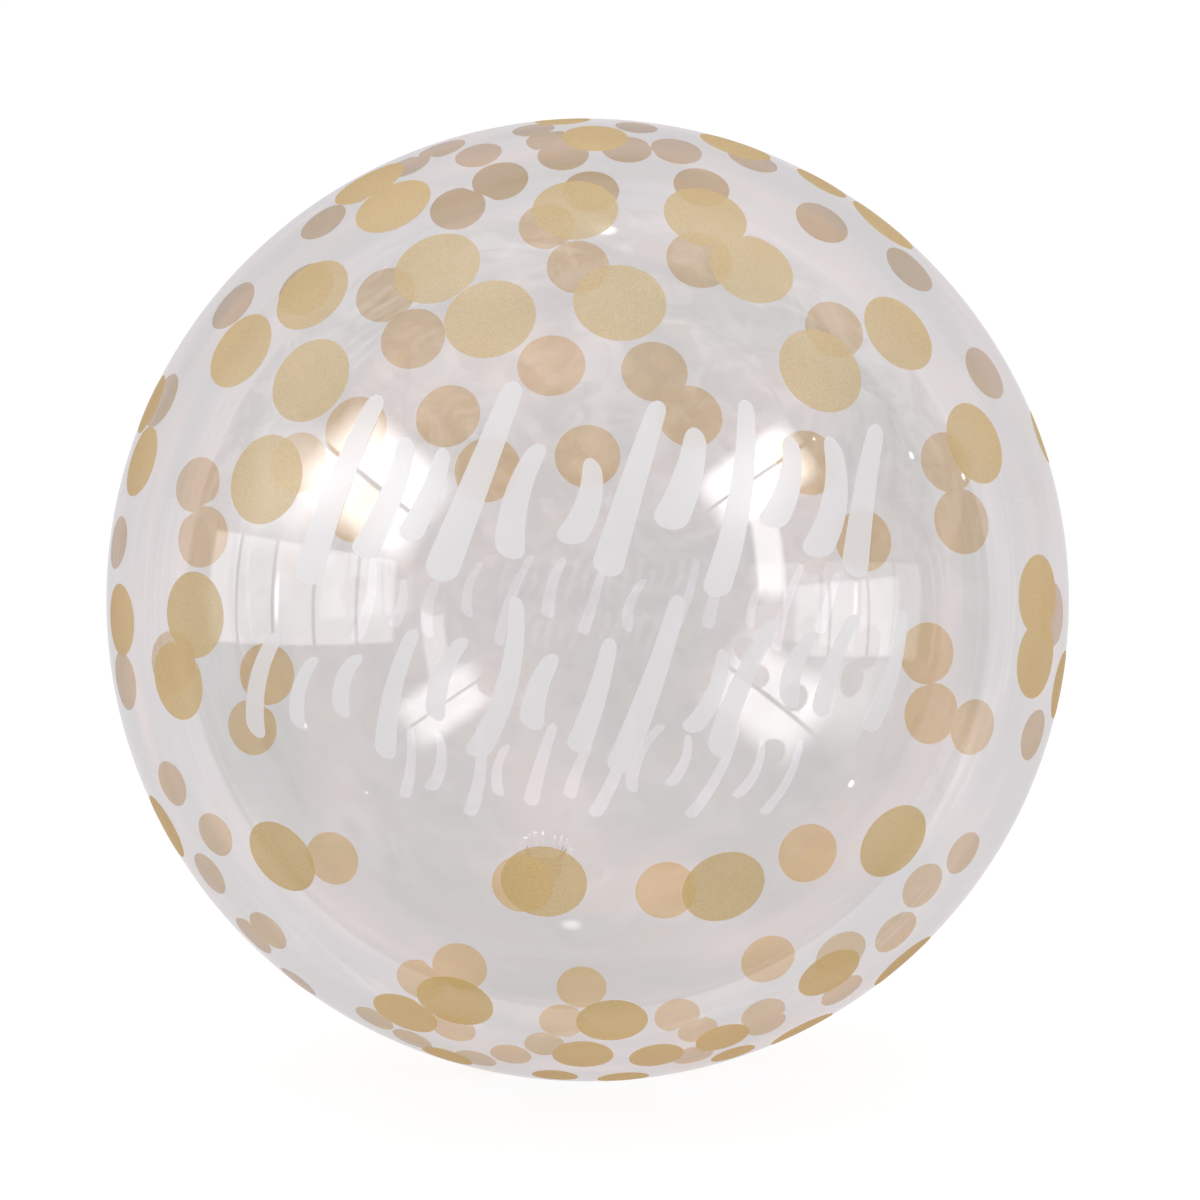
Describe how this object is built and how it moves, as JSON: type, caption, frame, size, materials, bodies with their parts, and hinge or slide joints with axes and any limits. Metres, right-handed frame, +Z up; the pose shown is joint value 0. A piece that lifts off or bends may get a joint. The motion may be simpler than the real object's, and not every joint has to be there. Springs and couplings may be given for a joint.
{
  "type": "clear bubble balloon",
  "caption": "Round seamless clear film balloon, blown up and sealed, printed with gold dots and rows of white brush strokes, resting on a small flat.",
  "frame": {"origin": "on the ground, at the middle of the small flat on the underside, straight below the ball's centre", "axes": "+Z up through the ball's centre, -Y towards the printed front, +X to the right seen from the front"},
  "size_m": [0.56, 0.56, 0.5579],
  "materials": {
    "clear_film": "smooth clear stretched film, glossy, with a faint grey veil",
    "gold_ink": "thin pale gold ink with a fine grain, slightly see-through",
    "white_ink": "thin white ink, half see-through"
  },
  "bodies": {
    "root": {"envelope": "clear_film"}
  },
  "joints": []
}
